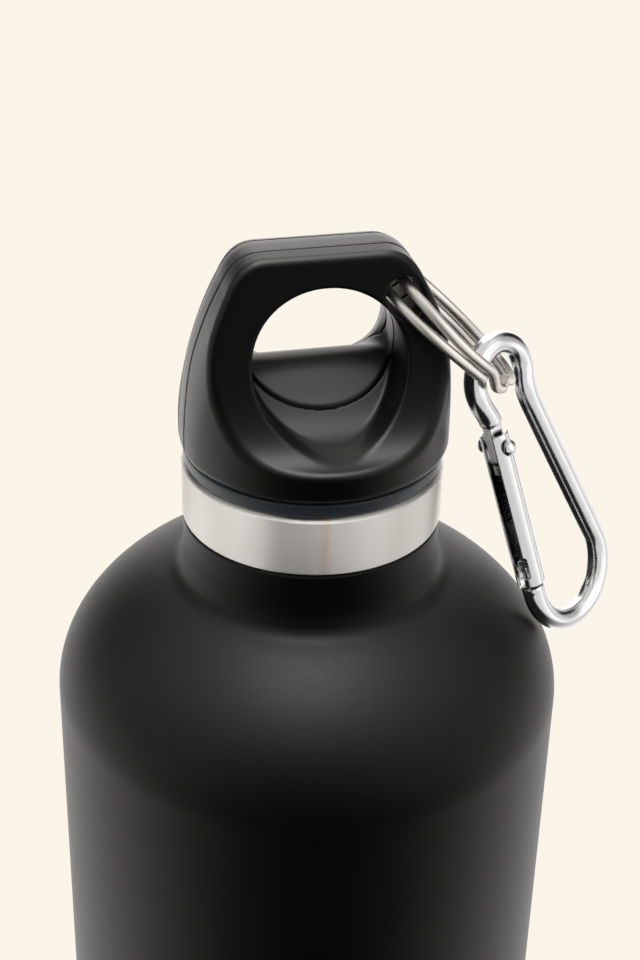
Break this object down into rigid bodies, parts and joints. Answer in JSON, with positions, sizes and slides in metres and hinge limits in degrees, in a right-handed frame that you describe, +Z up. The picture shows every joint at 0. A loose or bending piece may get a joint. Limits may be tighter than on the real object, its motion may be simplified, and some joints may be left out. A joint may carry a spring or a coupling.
{
  "type": "insulated water bottle",
  "caption": "Vacuum-insulated steel drinking bottle with a screw-on handle cap, a split ring through the handle and a small carabiner hanging from it.",
  "frame": {"origin": "centre of the base, on the plane where the bottle stands", "axes": "+Z up the bottle's axis; X along the handle's arch, with the split ring and the carabiner on the +X side; -Y is the front of the cap"},
  "size_m": [0.1018, 0.09, 0.285],
  "materials": {
    "powder_coat": "fine-textured matt powder coat",
    "brushed_steel": "brushed round the axis, slightly warm",
    "copper_foil": "bright rolled copper",
    "solder": "dull grey solder",
    "black_silicone": "soft matt silicone",
    "grey_plastic": "satin dark blue-grey",
    "plug_foam": "off-white insulating foam",
    "black_plastic": "soft-touch matt",
    "spring_steel": "bright nickel-plated wire",
    "polished_aluminium": "polished to a soft shine"
  },
  "bodies": {
    "bottle": {"outer_shell": "powder_coat", "neck_collar": "brushed_steel", "inner_liner": "brushed_steel", "radiation_foil": "copper_foil", "vacuum_base_cup": "powder_coat", "vacuum_seal": "solder", "getter_capsule": "brushed_steel", "base_cover": "brushed_steel"},
    "gasket": {"seal_gasket": "black_silicone"},
    "cap": {"cap_core": "black_plastic", "cap_front_shell": "black_plastic", "cap_rear_shell": "black_plastic", "cap_plug": "grey_plastic", "plug_insulation": "plug_foam", "plug_end_disc": "brushed_steel"},
    "ring": {"split_ring": "spring_steel"},
    "carabiner": {"carabiner_body": "polished_aluminium", "gate_rivet": "polished_aluminium"},
    "gate": {"carabiner_gate": "polished_aluminium", "gate_spring": "spring_steel"},
    "plunger": {"gate_plunger": "spring_steel"}
  },
  "joints": [
    {"name": "cap_lift", "type": "slide", "parent": "bottle", "child": "gasket", "axis": [0, 0, 1], "range_m": [0, 0.0213]},
    {"name": "cap_turn", "type": "hinge", "parent": "gasket", "child": "cap", "pos_m": [0, 0, 0.2486], "axis": [0, 0, 1], "range_deg": [0, 1530]},
    {"name": "ring_swing", "type": "hinge", "parent": "cap", "child": "ring", "pos_m": [0.0125, 0, 0.2777], "axis": [0, -1, 0], "range_deg": [0, 90]},
    {"name": "carabiner_swing", "type": "hinge", "parent": "ring", "child": "carabiner", "pos_m": [0.0327, 0, 0.25853], "axis": [0, -1, 0], "range_deg": [0, 75]},
    {"name": "gate_open", "type": "hinge", "parent": "carabiner", "child": "gate", "pos_m": [0.03137, -0.0048, 0.24654], "axis": [0.5156, -0.8138, 0.2681], "range_deg": [0, 25], "stiffness_Nm_per_rad": 0.001},
    {"name": "plunger_press", "type": "slide", "parent": "gate", "child": "plunger", "axis": [0.258, -0.1509, -0.9543], "range_m": [0, 0.0004]}
  ],
  "couplings": [
    {"joint": "cap_lift", "follows": "cap_turn", "m_per_rad": 0.00079577},
    {"joint": "plunger_press", "follows": "gate_open", "m_per_rad": 0.0008}
  ]
}
